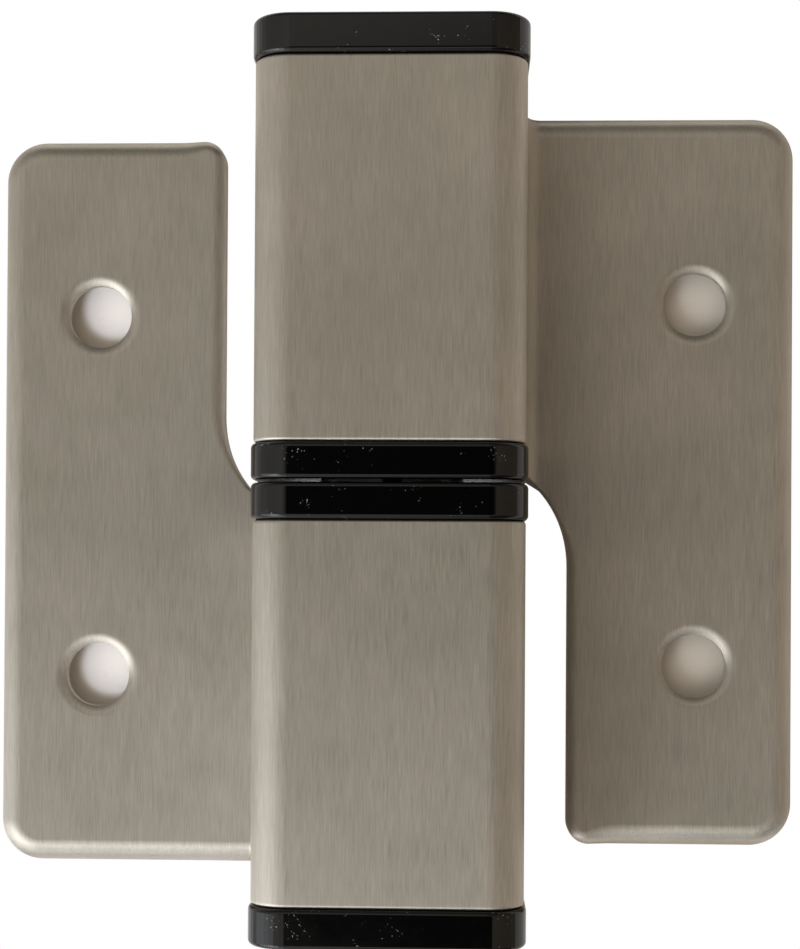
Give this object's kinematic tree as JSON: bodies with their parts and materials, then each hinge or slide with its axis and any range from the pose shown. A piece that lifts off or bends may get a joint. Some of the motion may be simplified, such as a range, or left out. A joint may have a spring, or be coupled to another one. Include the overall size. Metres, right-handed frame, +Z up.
{
  "type": "pivot hinge",
  "caption": "Self-closing pivot hinge for a cubicle door: two folded steel leaves on a square barrel, with nylon collars, end caps and lifting cams.",
  "frame": {"origin": "on the pivot axis, at the split between the two collars, which is also the centre of the closed hinge's box", "axes": "+Z up along the pivot axis, +X towards the door leaf, +Y towards the door and frame faces that the leaves lie on"},
  "size_m": [0.0882, 0.022, 0.0946],
  "materials": {
    "leaf_steel": "satin stainless steel, brushed along the pivot axis",
    "black_nylon": "black moulded nylon, satin",
    "pin_steel": "turned stainless steel"
  },
  "bodies": {
    "frame_side": {"frame_leaf": "leaf_steel", "frame_core": "black_nylon", "bottom_cap": "black_nylon"},
    "pin_set": {"pivot_pin": "pin_steel", "pin_washer": "pin_steel", "upper_retaining_ring": "pin_steel", "lower_retaining_ring": "pin_steel"},
    "door_side": {"door_leaf": "leaf_steel", "door_core": "black_nylon", "top_cap": "black_nylon"}
  },
  "joints": [
    {"name": "door_rise", "type": "slide", "parent": "frame_side", "child": "pin_set", "axis": [0, 0, 1], "range_m": [0, 0.0049]},
    {"name": "door_swing", "type": "hinge", "parent": "pin_set", "child": "door_side", "pos_m": [0, 0, 0], "axis": [0, 0, -1], "range_deg": [0, 110]}
  ],
  "couplings": [
    {"joint": "door_rise", "follows": "door_swing", "m_per_rad": 0.0025465}
  ]
}
